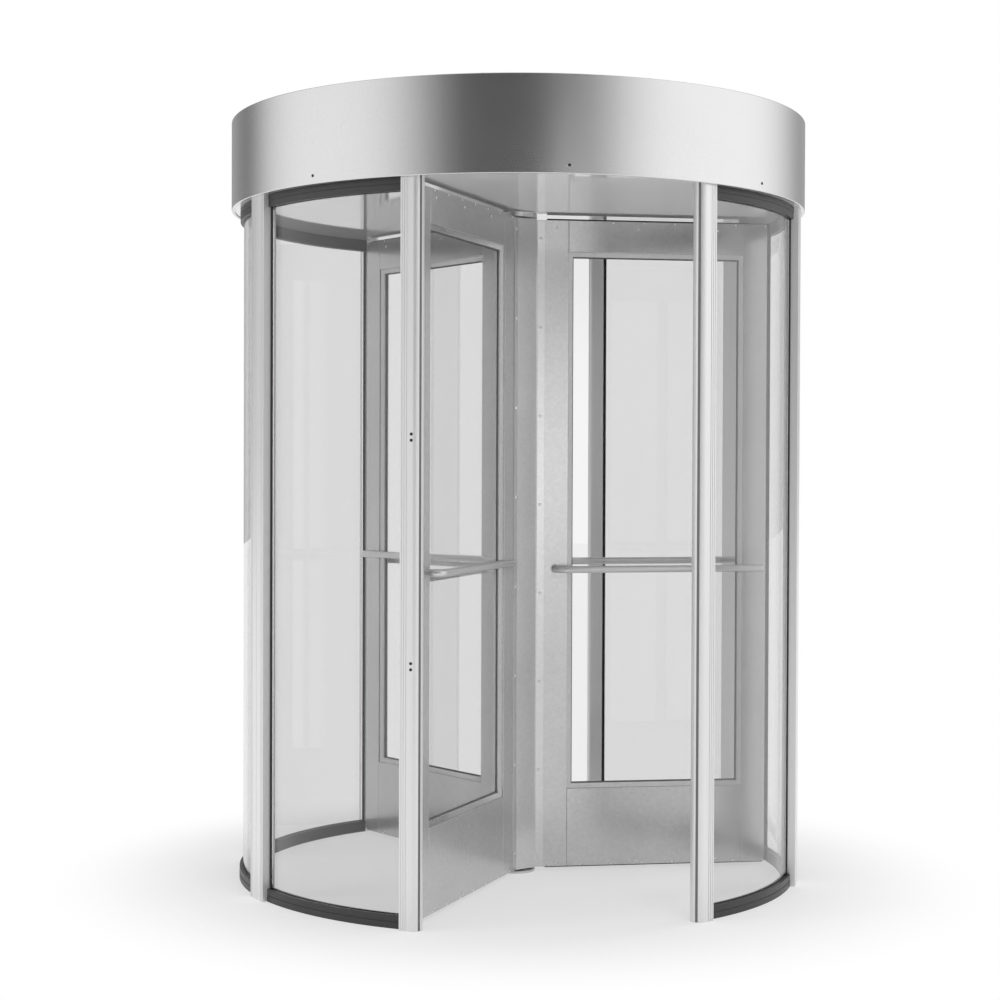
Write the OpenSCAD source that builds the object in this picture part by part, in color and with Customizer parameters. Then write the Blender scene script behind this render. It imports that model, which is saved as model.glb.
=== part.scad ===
// Three-wing revolving door in a round glazed drum, in millimetres.
// The origin is on the floor at the turning axis, +Z is up and the front doorway faces -Y.
// Angles run counter-clockwise seen from above, from the front doorway's centre line.

/* [Canopy] */
// Outer diameter of the canopy fascia
fascia_d = 1910; // [1800:5:2400]
// Height of the fascia from its lower edge to its top edge
fascia_h = 288; // [200:1:400]
// Sheet thickness of the fascia and its lips
fascia_t = 3; // [2:0.5:5]
// Width of the lips turned in at the fascia's two edges, measured from its outer face
fascia_lip = 10; // [6:0.5:11]
// Height of the fascia's lower edge above the floor
clear_h = 2205; // [2050:5:2500]
// Thickness of the soffit panel
soffit_t = 18; // [10:1:30]
// Thickness of the roof sheet
roof_t = 3; // [2:0.5:6]

/* [Posts] */
// Distance of the posts' outer faces inside the fascia's outer face
post_inset = 13; // [12:0.5:20]
// Depth of a post along the drum's radius, which a jamb's nose rounds off whole
post_depth = 50; // [46:1:60]
// Width of a jamb
jamb_w = 64; // [56:1:80]
// Width of each half of a mullion
mullion_w = 48; // [40:1:70]
// Width of the fine grooves in the posts' outer faces
groove_w = 2.5; // [1:0.5:3]
// Distance from one fine groove to the next
groove_step = 7.5; // [5:0.5:9]
// Depth of the fine grooves
groove_d = 1.5; // [0.5:0.5:3]
// Angle from the doorway's centre line to the middle of each jamb
jamb_angle = 28.3; // [24:0.1:29]
// Width of the slot in a jamb's nose that holds its edge strip
nose_slot_w = 8; // [4:0.5:10]
// Depth of that slot
nose_slot_d = 3; // [1:0.5:5]
// Angle of that slot round the nose from the outer face
nose_slot_angle = 57; // [45:1:70]

/* [Drum walls] */
// Thickness of the curved glass
glass_t = 12; // [8:1:16]
// Distance of the glass's outer face behind the posts' outer faces
glass_inset = 28; // [20:1:30]
// Height of the top and bottom rails
rail_h = 40; // [30:1:60]
// Distance that the rails stand out past the glass's outer face
rail_out = 12; // [6:1:16]
// Distance that the rails stand in past the glass's inner face
rail_in = 10; // [6:1:10]
// Depth of the slot in each rail that holds the glass
slot_depth = 12; // [6:1:20]
// Width and depth of the shadow groove along each rail's outer face
rail_groove = 2; // [1:0.5:3]
// Width of the upright gaskets between glass and posts
gasket_w = 9; // [5:0.5:14]
// Distance that the gaskets stand past each face of the glass
gasket_out = 3; // [1:0.5:4]

/* [Wings] */
// Turn of the first wing at rest
wing_rest = -30; // [-50:1:50]
// Thickness of the wings
wing_t = 45; // [36:1:60]
// Width of the inner stile, from the shaft outwards
inner_stile = 143; // [120:1:180]
// Width of the outer stile
outer_stile = 84; // [60:1:110]
// Height of the wings' top rail
wing_top_rail = 106; // [70:1:160]
// Height of the wings' bottom rail
wing_bottom_rail = 263; // [150:1:330]
// Thickness of the wings' glass
wing_glass_t = 8; // [6:0.5:12]
// Width of the glazing stops round the wing's glass
stop_w = 16; // [10:1:24]
// Depth of the glazing stops
stop_d = 14; // [8:0.5:16]
// Thickness of the edge seals
seal_t = 8; // [5:0.5:12]
// Reach of the upright seal past the outer stile
seal_reach = 20; // [8:0.5:24]
// Height of the sweeps past the wings' top and bottom edges
sweep_h = 7; // [4:0.5:9]

/* [Push bars] */
// Diameter of the push bars
bar_d = 24; // [18:1:32]
// Distance from the wing's face to the bar's middle line at its bent end
bar_out = 56; // [45:1:80]
// Radius of the bar's bend along its middle line
bar_bend = 32; // [26:1:40]
// Height of the bars on the clockwise faces above the floor
bar_z = 1020; // [850:5:1150]
// Height that the bars on the other faces sit above those
bar_step = 24; // [0:1:60]
// Distance of the bars' ends from the edges of the stiles that carry them
bar_end = 42; // [20:1:60]
// Wall of the sleeve over the weld between the bar's bend and its straight stretch
sleeve_t = 0.5; // [0.3:0.1:1]
// Length of that sleeve
sleeve_l = 8; // [4:1:16]

/* [Hub] */
// Diameter of the centre shaft
shaft_d = 56; // [40:1:70]
// Sheet thickness of the corner covers
cover_t = 3; // [2:0.5:5]
// Distance along the wing from the axis to the cover's bend
cover_bend = 61; // [50:1:80]
// Width of the cover's flanges on the wings
cover_flange = 29; // [20:1:40]
// Diameter of the shaft's pivots
pivot_d = 30; // [20:1:36]
// Diameter of the bearing plates at floor and soffit
bearing_d = 130; // [90:5:150]
// Thickness of the bearing plates
bearing_t = 8; // [6:0.5:8]

/* [Clearances] */
// Radial clearance of the pivots in their bearings
pivot_clear = 0.05; // [0.02:0.01:0.1]
// Gap between pieces that are fitted together
fit_gap = 0.3; // [0.1:0.05:0.5]
// Gap between the sweeping seals and the drum's posts
sweep_gap = 6; // [5:0.5:12]
// Gap between the sweeps and the floor or soffit
sweep_gap_z = 6; // [5:0.5:12]
// Distance of the sweeps' inner ends from the bearing plates
sweep_clear = 35; // [20:1:60]

/* [Hidden] */
$fn = 96;
eps = 1;
fascia_r = fascia_d / 2;
soffit_z = clear_h + fascia_t;
top_rail_z = soffit_z - fit_gap;
fascia_top = clear_h + fascia_h;
post_out_r = fascia_r - post_inset;
post_in_r = post_out_r - post_depth;
nose_r = post_depth / 2;
glass_out_r = post_out_r - glass_inset;
glass_in_r = glass_out_r - glass_t;
glass_r = (glass_out_r + glass_in_r) / 2;
rail_out_r = glass_out_r + rail_out;
rail_in_r = glass_in_r - rail_in;
// Half the angle between the two halves of a mullion, which meet at the glass's radius
mullion_half = atan(mullion_w / 2 / glass_r);
panels = 3;
// Angle between the two posts of one glass panel
panel_angle = (180 - 2 * jamb_angle - 4 * mullion_half) / panels;
function panel_start(i) = jamb_angle + i * (panel_angle + 2 * mullion_half);
function panel_end(i) = panel_start(i) + panel_angle;
// Widths of the posts at a panel's start and at its end
function start_w(i) = i == 0 ? jamb_w : mullion_w;
function end_w(i) = i == panels - 1 ? jamb_w : mullion_w;
wing_bottom = sweep_gap_z + sweep_h;
wing_top = soffit_z - sweep_gap_z - sweep_h;
wing_in = shaft_d / 2 + fit_gap;
wing_out = post_in_r - sweep_gap - seal_reach;
window_in = wing_in + inner_stile;
window_out = wing_out - outer_stile;
window_bottom = wing_bottom + wing_bottom_rail;
window_top = wing_top - wing_top_rail;
sweep_start = bearing_d / 2 + sweep_clear;
bar_slant = atan(bar_out / (window_out - window_in + bar_end));
wing_angle = 120;
post_colour = "#c4c6c8";
rail_colour = "#2a2b2c";
sheet_colour = "#b4b6b8";
glass_colour = [0.80, 0.86, 0.87, 0.35];
rubber_colour = "#161617";

// Turns a piece drawn along the front centre line to its place round the drum
module at_angle(a) {
    rotate([0, 0, a]) children();
}

// The right-hand wall as drawn, or its mirror image on the left
module on_side(left) {
    mirror([left ? 1 : 0, 0, 0]) children();
}

// Part of a ring about the axis, from one angle to another, with its section in the XZ plane
module ring_part(from, to) {
    rotate([0, 0, from - 90]) rotate_extrude(angle = to - from, $fn = 180) children();
}

// Half of the canopy's band, with its lips turned in at both edges
module fascia_half(from) {
    color(sheet_colour) ring_part(from, from + 180) {
        translate([fascia_r - fascia_t, clear_h]) square([fascia_t, fascia_h]);
        translate([fascia_r - fascia_lip, clear_h]) square([fascia_lip, fascia_t]);
        translate([fascia_r - fascia_lip, fascia_top - fascia_t]) square([fascia_lip, fascia_t]);
    }
}

module fascia_front() {
    fascia_half(-90);
}

module fascia_rear() {
    fascia_half(90);
}

// Roof sheet under the fascia's upper lip
module canopy_roof() {
    color(sheet_colour)
        translate([0, 0, fascia_top - fascia_t - roof_t])
            cylinder(r = fascia_r - fascia_t - fit_gap, h = roof_t, $fn = 180);
}

// Ceiling of the drum, resting on the posts and the fascia's lower lip
module soffit_panel() {
    color("#d9dadb") difference() {
        translate([0, 0, soffit_z])
            cylinder(r = fascia_r - fascia_t - fit_gap, h = soffit_t, $fn = 180);
        translate([0, 0, soffit_z - eps])
            cylinder(d = pivot_d + 2 * pivot_clear, h = soffit_t + 2 * eps);
    }
}

// Fine grooves in a post's outer face, beside the edge that faces its glass
module fine_grooves(edge, count) {
    for (i = [1 : count])
        translate([edge + i * groove_step - groove_w, -post_out_r - eps])
            square([groove_w, groove_d + eps]);
}

// Section of a jamb: flat outer face with fine grooves by the glass, round nose by the doorway
module jamb_section() {
    half = jamb_w / 2;
    difference() {
        union() {
            translate([-half, -post_out_r]) square([jamb_w - nose_r, post_depth]);
            translate([half - nose_r, -post_out_r + nose_r]) circle(r = nose_r);
        }
        fine_grooves(-half, 3);
        translate([half - nose_r, -post_out_r + nose_r]) rotate(nose_slot_angle)
            translate([-nose_slot_w / 2, -nose_r - eps]) square([nose_slot_w, nose_slot_d + eps]);
    }
}

// Jamb post with its nose on the clockwise or on the counter-clockwise side
module jamb(angle, nose_clockwise) {
    color(post_colour) at_angle(angle)
        mirror([nose_clockwise ? 1 : 0, 0, 0])
            linear_extrude(soffit_z) jamb_section();
}

module jamb_front_left() {
    jamb(-jamb_angle, false);
}

module jamb_front_right() {
    jamb(jamb_angle, true);
}

module jamb_rear_left() {
    jamb(180 + jamb_angle, true);
}

module jamb_rear_right() {
    jamb(180 - jamb_angle, false);
}

// Half of a mullion: a flat post with grooves by its own glass
module mullion_half_section() {
    difference() {
        translate([-mullion_w / 2, -post_out_r]) square([mullion_w, post_depth]);
        fine_grooves(-mullion_w / 2, 2);
    }
}

// Two posts back to back where one glass panel ends and the next begins
module mullion(angle) {
    color(post_colour) at_angle(angle) linear_extrude(soffit_z) for (side = [0, 1])
        mirror([side, 0, 0]) rotate(-mullion_half) mullion_half_section();
}

module mullions_right() {
    for (i = [0 : panels - 2])
        mullion(panel_end(i) + mullion_half);
}

module mullions_left() {
    on_side(true) mullions_right();
}

// Space taken by a post and a margin on each of its sides
module post_space(angle, width, margin) {
    at_angle(angle)
        translate([-width / 2 - margin, -fascia_r, -eps])
            cube([width + 2 * margin, fascia_r - rail_in_r + 2 * rail_in, fascia_top]);
}

// A ring's section carried from post to post of one panel
module between_posts(i, margin) {
    difference() {
        ring_part(panel_start(i), panel_end(i)) children();
        post_space(panel_start(i), start_w(i), margin);
        post_space(panel_end(i), end_w(i), margin);
    }
}

// Section of a bottom rail: slot for the glass on top, shadow groove along the outer face
module rail_section() {
    difference() {
        translate([rail_in_r, 0]) square([rail_out_r - rail_in_r, rail_h]);
        translate([glass_in_r - fit_gap, rail_h - slot_depth])
            square([glass_t + 2 * fit_gap, slot_depth + eps]);
        translate([rail_out_r - rail_groove, (rail_h - rail_groove) / 2])
            square([rail_groove + eps, rail_groove]);
    }
}

module bottom_rails_right() {
    color(rail_colour) for (i = [0 : panels - 1])
        between_posts(i, 0) rail_section();
}

module bottom_rails_left() {
    on_side(true) bottom_rails_right();
}

// The top rails are the bottom rails upside down, a fitting gap under the soffit
module top_rails_right() {
    color(rail_colour) for (i = [0 : panels - 1])
        between_posts(i, 0) translate([0, top_rail_z]) mirror([0, 1]) rail_section();
}

module top_rails_left() {
    on_side(true) top_rails_right();
}

// Curved glass panel, held in the rails' slots
module wall_glass(i) {
    edge = rail_h - slot_depth + fit_gap;
    color(glass_colour) between_posts(i, gasket_w + fit_gap)
        translate([glass_in_r, edge]) square([glass_t, top_rail_z - 2 * edge]);
}

module glass_right_front() {
    wall_glass(0);
}

module glass_right_middle() {
    wall_glass(1);
}

module glass_right_rear() {
    wall_glass(2);
}

module glass_left_front() {
    on_side(true) wall_glass(0);
}

module glass_left_middle() {
    on_side(true) wall_glass(1);
}

module glass_left_rear() {
    on_side(true) wall_glass(2);
}

// Upright gasket beside a post, between the rails
module gasket(angle, width, clockwise) {
    at_angle(angle) mirror([clockwise ? 1 : 0, 0, 0])
        translate([width / 2, -glass_out_r - gasket_out, rail_h])
            cube([gasket_w, glass_t + 2 * gasket_out, top_rail_z - 2 * rail_h - fit_gap]);
}

module wall_gaskets() {
    color(rubber_colour) for (left = [false, true]) on_side(left)
        for (i = [0 : panels - 1]) {
            gasket(panel_start(i), start_w(i), false);
            gasket(panel_end(i), end_w(i), true);
        }
}

// Plate with a bore for a pivot of the shaft
module bearing_plate() {
    difference() {
        cylinder(d = bearing_d, h = bearing_t);
        translate([0, 0, -eps])
            cylinder(d = pivot_d + 2 * pivot_clear, h = bearing_t + 2 * eps);
    }
}

module floor_bearing() {
    color(post_colour) bearing_plate();
}

module top_bearing() {
    color(post_colour) translate([0, 0, soffit_z - bearing_t]) bearing_plate();
}

// Shaft that carries the wings, with a pivot at each end
module centre_shaft() {
    color(post_colour) {
        translate([0, 0, wing_bottom]) cylinder(d = shaft_d, h = wing_top - wing_bottom);
        translate([0, 0, fit_gap])
            cylinder(d = pivot_d, h = soffit_z + soffit_t - 2 * fit_gap);
    }
}

// Bent sheet that covers the corner between two wings
module corner_cover(n) {
    half = wing_angle / 2;
    along = [sin(half), -cos(half)];
    out = [-cos(half), -sin(half)];
    edge = (cover_bend + cover_flange) * along + wing_t / 2 * out;
    bend = cover_bend * along + wing_t / 2 * out;
    edge_outer = edge + cover_t * out;
    face_y = bend[1] - cover_t;
    bend_outer_x = (wing_t / 2 + cover_t - face_y * out[1]) / out[0];
    side = [edge, bend, [bend_outer_x, face_y], edge_outer];
    function flip(p) = [-p[0], p[1]];
    color(sheet_colour) at_angle(wing_rest + (n - 0.5) * wing_angle)
        translate([0, 0, wing_bottom]) linear_extrude(wing_top - wing_bottom)
            polygon([side[0], side[1], flip(side[1]), flip(side[0]),
                flip(side[3]), flip(side[2]), side[2], side[3]]);
}

module corner_cover_1() {
    corner_cover(1);
}

module corner_cover_2() {
    corner_cover(2);
}

module corner_cover_3() {
    corner_cover(3);
}

// Moves a wing drawn along X, with its counter-clockwise face towards +Y, to its place
module at_wing(n) {
    at_angle(wing_rest + (n - 1) * wing_angle - 90) children();
}

// Upright block through a wing's thickness
module wing_block(from, to, bottom, top, thickness) {
    translate([from, -thickness / 2, bottom])
        cube([to - from, thickness, top - bottom]);
}

module wing_stiles(n) {
    color(sheet_colour) at_wing(n) {
        wing_block(wing_in, window_in, wing_bottom, wing_top, wing_t);
        wing_block(window_out, wing_out, wing_bottom, wing_top, wing_t);
    }
}

module wing_rails(n) {
    color(sheet_colour) at_wing(n) {
        wing_block(window_in, window_out, wing_bottom, window_bottom, wing_t);
        wing_block(window_in, window_out, window_top, wing_top, wing_t);
    }
}

module wing_glass(n) {
    color(glass_colour) at_wing(n)
        wing_block(window_in + fit_gap, window_out - fit_gap,
            window_bottom + fit_gap, window_top - fit_gap, wing_glass_t);
}

// Glazing stops on both faces of the wing's glass, inside the frame
module wing_stops(n) {
    color(sheet_colour) at_wing(n) for (face = [0, 1]) mirror([0, face, 0])
        difference() {
            translate([window_in, wing_glass_t / 2, window_bottom])
                cube([window_out - window_in, stop_d, window_top - window_bottom]);
            translate([window_in + stop_w, wing_glass_t / 2 - eps, window_bottom + stop_w])
                cube([window_out - window_in - 2 * stop_w, stop_d + 2 * eps,
                    window_top - window_bottom - 2 * stop_w]);
        }
}

// Rod from the wing's face out to a bend and then slanting back to the face, bent end at X = 0
module push_bar() {
    reach = window_out - window_in + 2 * bar_end;
    leg = bar_out - bar_bend;
    turn = 90 + bar_slant;
    intersection() {
        union() {
            translate([0, -bar_d, 0]) rotate([-90, 0, 0])
                cylinder(d = bar_d, h = bar_d + leg);
            translate([-bar_bend, leg, 0])
                rotate_extrude(angle = turn) translate([bar_bend, 0]) circle(d = bar_d);
            translate([-bar_bend, leg, 0]) rotate([0, 0, turn]) translate([bar_bend, 0, 0])
                rotate([-90, 0, 0]) {
                    cylinder(d = bar_d, h = reach);
                    translate([0, 0, -sleeve_l / 2])
                        cylinder(d = bar_d + 2 * sleeve_t, h = sleeve_l);
                }
        }
        translate([-reach - bar_d, 0, -bar_d]) cube([reach + 3 * bar_d, 2 * bar_out, 2 * bar_d]);
    }
}

// One bar on each face: bent end at the outer stile on one face, at the inner stile on the other
module wing_bars(n) {
    color(post_colour) at_wing(n) {
        translate([window_out + bar_end, wing_t / 2, bar_z + bar_step]) push_bar();
        translate([window_in - bar_end, -wing_t / 2, bar_z]) rotate([0, 0, 180]) push_bar();
    }
}

// Upright seal on the outer stile, and the sweeps over and under the wing
module wing_seals(n) {
    color(rubber_colour) at_wing(n) {
        wing_block(wing_out, wing_out + seal_reach, wing_bottom, wing_top, seal_t);
        wing_block(sweep_start, wing_out - fit_gap, wing_top, wing_top + sweep_h, seal_t);
        wing_block(sweep_start, wing_out - fit_gap, wing_bottom - sweep_h, wing_bottom, seal_t);
    }
}

module wing_1_stiles() { wing_stiles(1); }
module wing_1_rails() { wing_rails(1); }
module wing_1_glass() { wing_glass(1); }
module wing_1_stops() { wing_stops(1); }
module wing_1_bars() { wing_bars(1); }
module wing_1_seals() { wing_seals(1); }
module wing_2_stiles() { wing_stiles(2); }
module wing_2_rails() { wing_rails(2); }
module wing_2_glass() { wing_glass(2); }
module wing_2_stops() { wing_stops(2); }
module wing_2_bars() { wing_bars(2); }
module wing_2_seals() { wing_seals(2); }
module wing_3_stiles() { wing_stiles(3); }
module wing_3_rails() { wing_rails(3); }
module wing_3_glass() { wing_glass(3); }
module wing_3_stops() { wing_stops(3); }
module wing_3_bars() { wing_bars(3); }
module wing_3_seals() { wing_seals(3); }

fascia_front();
fascia_rear();
canopy_roof();
soffit_panel();
jamb_front_left();
jamb_front_right();
jamb_rear_left();
jamb_rear_right();
mullions_left();
mullions_right();
top_rails_left();
top_rails_right();
bottom_rails_left();
bottom_rails_right();
glass_left_front();
glass_left_middle();
glass_left_rear();
glass_right_front();
glass_right_middle();
glass_right_rear();
wall_gaskets();
floor_bearing();
top_bearing();
centre_shaft();
corner_cover_1();
corner_cover_2();
corner_cover_3();
wing_1_stiles();
wing_1_rails();
wing_1_glass();
wing_1_stops();
wing_1_bars();
wing_1_seals();
wing_2_stiles();
wing_2_rails();
wing_2_glass();
wing_2_stops();
wing_2_bars();
wing_2_seals();
wing_3_stiles();
wing_3_rails();
wing_3_glass();
wing_3_stops();
wing_3_bars();
wing_3_seals();
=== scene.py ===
from math import asin, atan, cos, degrees, radians, sin

import bmesh
import bpy
from mathutils import Matrix, Vector


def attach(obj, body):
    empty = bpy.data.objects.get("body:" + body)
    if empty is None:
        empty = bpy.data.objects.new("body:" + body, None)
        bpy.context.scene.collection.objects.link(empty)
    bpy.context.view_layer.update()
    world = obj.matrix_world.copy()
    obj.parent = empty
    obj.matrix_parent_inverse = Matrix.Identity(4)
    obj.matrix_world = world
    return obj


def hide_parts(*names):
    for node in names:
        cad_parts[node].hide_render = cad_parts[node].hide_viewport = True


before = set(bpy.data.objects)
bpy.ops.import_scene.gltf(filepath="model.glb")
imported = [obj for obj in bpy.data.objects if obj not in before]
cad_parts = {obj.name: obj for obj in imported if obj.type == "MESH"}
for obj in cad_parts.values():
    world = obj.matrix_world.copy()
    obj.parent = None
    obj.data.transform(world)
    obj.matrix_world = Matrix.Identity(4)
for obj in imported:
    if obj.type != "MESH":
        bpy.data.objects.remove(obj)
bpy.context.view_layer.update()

# The viewpoint: a long lens at eye height, six and a half metres from the
# turning axis and a little left of the doorway's middle.
MM = 0.001
scene = bpy.context.scene
scene.view_settings.view_transform = "Standard"
view_side = radians(-8.96)
view_distance = 6499 * MM
eye_height = 1341 * MM
aim_turn = radians(0.5)
aim_tilt = radians(0.83)
aim_roll = radians(0.2)
lens = bpy.data.cameras.new("viewpoint")
lens.sensor_width = 36
lens.lens = 69.3
lens.shift_y = 0.0014
viewpoint = bpy.data.objects.new("viewpoint", lens)
eye = (view_distance * sin(view_side), -view_distance * cos(view_side), eye_height)
viewpoint.matrix_world = (
    Matrix.Translation(eye)
    @ Matrix.Rotation(view_side + aim_turn, 4, "Z")
    @ Matrix.Rotation(radians(90) - aim_tilt, 4, "X")
    @ Matrix.Rotation(aim_roll, 4, "Z")
)
scene.collection.objects.link(viewpoint)
scene.camera = viewpoint


# The studio: a white floor and backdrop and three softboxes. The satin metal mirrors a room with
# a pale wall on either side, a bright ceiling and a dim end behind the camera, its dark middle.
class Feed:
    """A socket of a node tree: arithmetic adds Math nodes, and node() adds any other node."""

    def __init__(self, tree, socket=None):
        self.tree = tree
        self.socket = socket

    def node(self, kind, settings, sockets, output=0):
        made = self.tree.nodes.new("ShaderNode" + kind)
        for name, value in settings.items():
            setattr(made, name, value)
        for name, value in sockets.items():
            if isinstance(value, Feed):
                self.tree.links.new(value.socket, made.inputs[name])
            else:
                made.inputs[name].default_value = value
        return Feed(self.tree, made.outputs[output]) if made.outputs else None

    def math(self, operation, first, second):
        return self.node("Math", {"operation": operation}, {0: first, 1: second})

    def __add__(self, other):
        return self.math("ADD", self, other)

    def __radd__(self, other):
        return self.math("ADD", other, self)

    def __sub__(self, other):
        return self.math("SUBTRACT", self, other)

    def __rsub__(self, other):
        return self.math("SUBTRACT", other, self)

    def __mul__(self, other):
        return self.math("MULTIPLY", self, other)

    def __rmul__(self, other):
        return self.math("MULTIPLY", other, self)


def start_nodes(owner):
    owner.use_nodes = True
    owner.node_tree.nodes.clear()
    return Feed(owner.node_tree)


def ray(feed, *kinds):
    """1 for a ray of one of these kinds, and 0 for any other."""
    found = [feed.node("LightPath", {}, {}, f"Is {kind} Ray") for kind in kinds]
    whole = found[0]
    for other in found[1:]:
        whole = feed.math("MAXIMUM", whole, other)
    return whole


def glow(feed, direction, towards, inner, outer):
    """A soft patch of light in the room, from full inside one cosine to none at the other."""
    facing = feed.node("VectorMath", {"operation": "DOT_PRODUCT"}, {0: direction, 1: towards}, "Value")
    return feed.node(
        "MapRange",
        {"interpolation_type": "SMOOTHSTEP"},
        {"Value": facing, "From Min": outer, "From Max": inner},
    )


def heading(angle, rise=0.0):
    """Direction at this angle from the camera's side of the axis, positive to its right."""
    turn = view_side + radians(angle)
    return Vector((sin(turn), -cos(turn), rise)).normalized()


room = bpy.data.worlds.new("studio")
scene.world = room
air = start_nodes(room)
look = air.node("TexCoord", {}, {}, "Generated")
dim_end = 0.08
left_wall = 0.98 * glow(air, look, heading(-78), 0.985, 0.52)
right_wall = 1.12 * glow(air, look, heading(83), 0.95, 0.38)
far_end = 0.38 * glow(air, look, heading(180), 1.0, 0.55)
glint = 2.6 * glow(air, look, heading(18, -0.02), 0.9985, 0.991)
ceiling = 0.6 * glow(air, look, (0, 0, 1), 0.95, 0.4)
mirrored = dim_end + left_wall + right_wall + far_end + glint + ceiling
ambient = 0.62
seen = ray(air, "Camera", "Transmission")
unseen = ray(air, "Glossy") * (mirrored - ambient) + ambient
strength = seen + (1 - seen) * unseen
backdrop = air.node("Background", {}, {"Color": (1, 1, 1, 1), "Strength": strength})
air.node("OutputWorld", {}, {"Surface": backdrop})

floor_finish = bpy.data.materials.new("studio_floor")
ground = start_nodes(floor_finish)
lit = ground.node("BsdfDiffuse", {}, {"Color": (0.9, 0.9, 0.9, 1)})
white = ground.node("Emission", {}, {"Color": (1, 1, 1, 1), "Strength": 1.0})
spot = ground.node("TexCoord", {}, {}, "Object")
reach = ground.node("VectorMath", {"operation": "LENGTH"}, {0: spot}, "Value")
fading = {"Value": reach, "From Min": 0.9, "From Max": 1.6, "To Min": 0.5}
far = ground.node("MapRange", {"interpolation_type": "SMOOTHSTEP"}, fading)
share = far * ray(ground, "Camera", "Glossy", "Transmission")
blended = ground.node("MixShader", {}, {0: share, 1: lit, 2: white})
ground.node("OutputMaterial", {}, {"Surface": blended})
floor_half = 30
sheet = bmesh.new()
bmesh.ops.create_grid(sheet, x_segments=4, y_segments=4, size=floor_half)
floor_mesh = bpy.data.meshes.new("studio_floor")
sheet.to_mesh(floor_mesh)
sheet.free()
floor_mesh.materials.append(floor_finish)
studio_floor = bpy.data.objects.new("studio_floor", floor_mesh)
scene.collection.objects.link(studio_floor)
lamp_aim = Vector((0, 0, 1.3))


def softbox(name, place, width, height, watts):
    lamp = bpy.data.lights.new(name, "AREA")
    lamp.shape = "RECTANGLE"
    lamp.size = width
    lamp.size_y = height
    lamp.energy = watts
    stand = bpy.data.objects.new(name, lamp)
    aim = (lamp_aim - Vector(place)).to_track_quat("-Z", "Y")
    stand.matrix_world = Matrix.Translation(place) @ aim.to_matrix().to_4x4()
    stand.visible_glossy = False
    stand.visible_transmission = False
    scene.collection.objects.link(stand)


softbox("left_softbox", (-3.6, -1.1, 1.7), 1.2, 2.2, 26)
softbox("right_softbox", (3.6, 0.5, 1.8), 1.2, 2.2, 30)
softbox("front_softbox", (1.5, -5.2, 3.4), 2.2, 1.6, 40)


# The floor bearing is a turned steel plate bolted to the floor, which holds the foot of the
# shaft. Its face keeps the fine rings of the lathe, and six countersunk screws lie flush in it.
bearing_out = 65
bearing_bore = 15.05
bearing_top = 8
bearing_chamfer = 1.2
bearing_steps = 96


def lathe(outline, steps):
    """Turns an outline of (radius, height) points in millimetres all the way round the axis."""
    shape = bmesh.new()
    ring = [shape.verts.new((0, -radius * MM, height * MM)) for radius, height in outline]
    ends = ring[:1] if outline[0][0] > 0 else []
    edges = [shape.edges.new(pair) for pair in zip(ring, ring[1:] + ends)]
    bmesh.ops.spin(
        shape, geom=ring + edges, cent=(0, 0, 0), axis=(0, 0, 1), angle=radians(360),
        steps=steps, use_merge=True, use_duplicate=False,
    )
    bmesh.ops.remove_doubles(shape, verts=shape.verts, dist=0.005 * MM)
    return shape


def moved(shape, matrix):
    bmesh.ops.transform(shape, matrix=matrix, verts=shape.verts)
    return shape


def screw_head(radius, height, steps):
    """A low domed head with a round drive recess, standing on the origin along +Z."""
    drive = 0.42 * radius
    recess = 0.45 * height
    return lathe(
        [(0, recess), (drive, recess), (drive, height), (0.75 * radius, 0.9 * height),
         (radius, 0.4 * height), (radius, -0.2), (0, -0.2)],
        steps,
    )


def facing(point, normal):
    """Where a screw sits: its foot on a point in millimetres, its head along the normal."""
    turn = Vector(normal).to_track_quat("Z", "Y").to_matrix().to_4x4()
    return Matrix.Translation(Vector(point) * MM) @ turn


def place(name, shapes, body, finish, *nodes):
    """Joins shapes into one piece that rides on a body and stands for the CAD nodes."""
    whole = bmesh.new()
    for shape in shapes:
        bmesh.ops.recalc_face_normals(shape, faces=shape.faces)
        if shape.calc_volume(signed=True) < 0:
            bmesh.ops.reverse_faces(shape, faces=shape.faces)
        part = bpy.data.meshes.new("part")
        shape.to_mesh(part)
        whole.from_mesh(part)
        bpy.data.meshes.remove(part)
        shape.free()
    mesh = bpy.data.meshes.new(name)
    whole.to_mesh(mesh)
    whole.free()
    mesh.materials.append(finish)
    mesh.shade_smooth()
    mesh.set_sharp_from_angle(angle=radians(32))
    piece = bpy.data.objects.new(name, mesh)
    scene.collection.objects.link(piece)
    flat_faces = piece.modifiers.new("flat_faces", "WEIGHTED_NORMAL")
    flat_faces.keep_sharp = True
    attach(piece, body)
    if nodes:
        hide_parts(*nodes)
    return piece


def finish(name, recipe):
    """A material whose recipe gives the sockets of its Principled shader."""
    material = bpy.data.materials.new(name)
    feed = start_nodes(material)
    shader = feed.node("BsdfPrincipled", {}, recipe(feed))
    feed.node("OutputMaterial", {}, {"Surface": shader})
    return material


def grain(feed, per_metre, detail=2.0):
    """Noise with this many waves a metre along each axis of the piece."""
    spot = feed.node("TexCoord", {}, {}, "Object")
    spread = feed.node("Mapping", {}, {"Vector": spot, "Scale": per_metre})
    return feed.node("TexNoise", {}, {"Vector": spread, "Scale": 1.0, "Detail": detail})


def shade(feed, mask, low, high):
    """A grey between two levels, the high one a touch warmer."""
    return feed.node(
        "Mix", {"data_type": "RGBA"},
        {0: mask, 6: (low, low, 1.01 * low, 1), 7: (1.005 * high, high, 0.995 * high, 1)}, 2,
    )


def relief(feed, height, strength, depth):
    rise = {"Height": height, "Strength": strength, "Distance": depth * MM}
    return feed.node("Bump", {}, rise, "Normal")


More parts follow.
